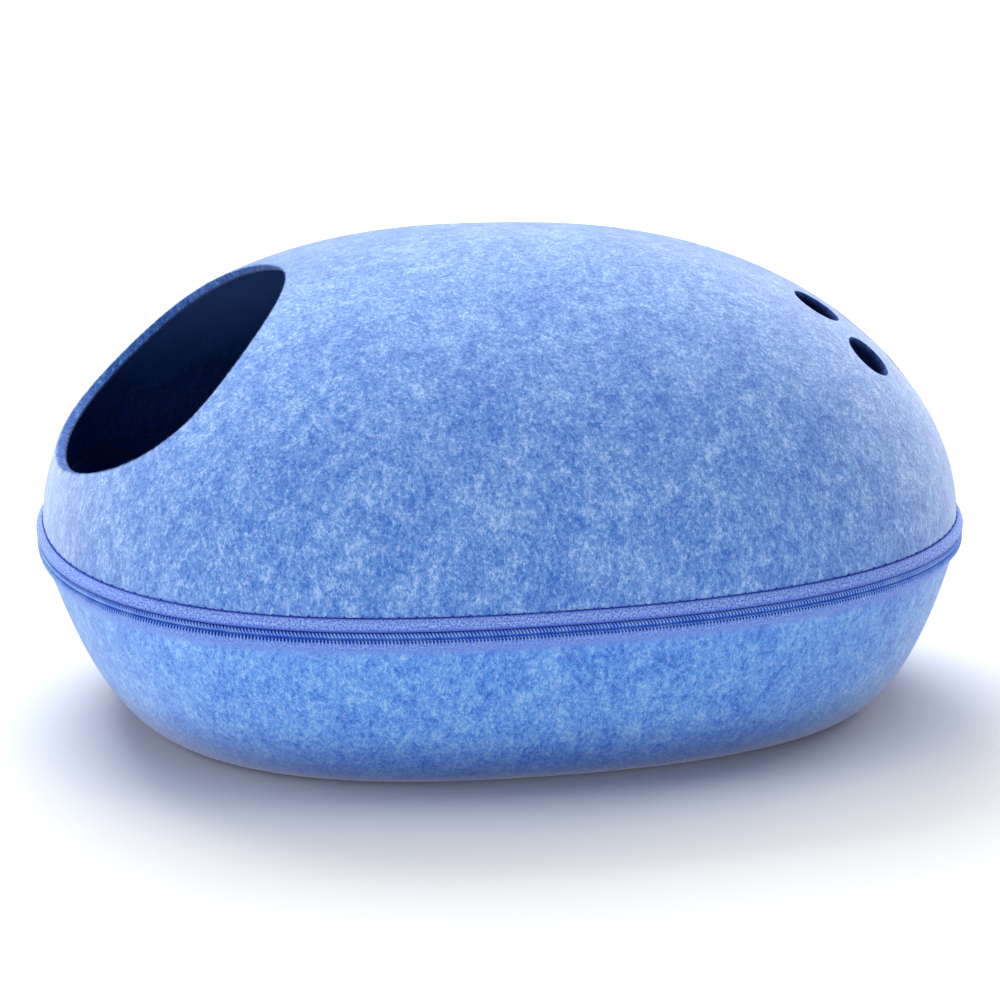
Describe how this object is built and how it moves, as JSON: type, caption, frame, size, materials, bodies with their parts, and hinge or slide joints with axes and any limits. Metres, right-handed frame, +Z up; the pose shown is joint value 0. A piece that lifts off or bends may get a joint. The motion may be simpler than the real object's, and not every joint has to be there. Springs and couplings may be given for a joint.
{
  "type": "felt cat cave",
  "caption": "Pet bed moulded from thick felt: a domed top with a slanted entrance and round vents, zipped all round to a shallow bowl base.",
  "frame": {"origin": "on the floor, under the middle of the zip's outline", "axes": "+X along the length towards the vents, away from the entrance; +Y across, towards the far side; +Z up"},
  "size_m": [0.4594, 0.3556, 0.2379],
  "materials": {
    "dome_felt": "heather blue needled felt, 5 mm, soft fuzz",
    "base_felt": "heather blue needled felt, 5 mm, soft fuzz",
    "upper_tape": "woven zip tape, periwinkle blue",
    "lower_tape": "woven zip tape, periwinkle blue",
    "coil": "dyed nylon coil, satin"
  },
  "bodies": {
    "root": {"felt_dome": "dome_felt", "felt_base": "base_felt", "upper_zip_tape": "upper_tape", "lower_zip_tape": "lower_tape", "zip_coil": "coil"}
  },
  "joints": []
}
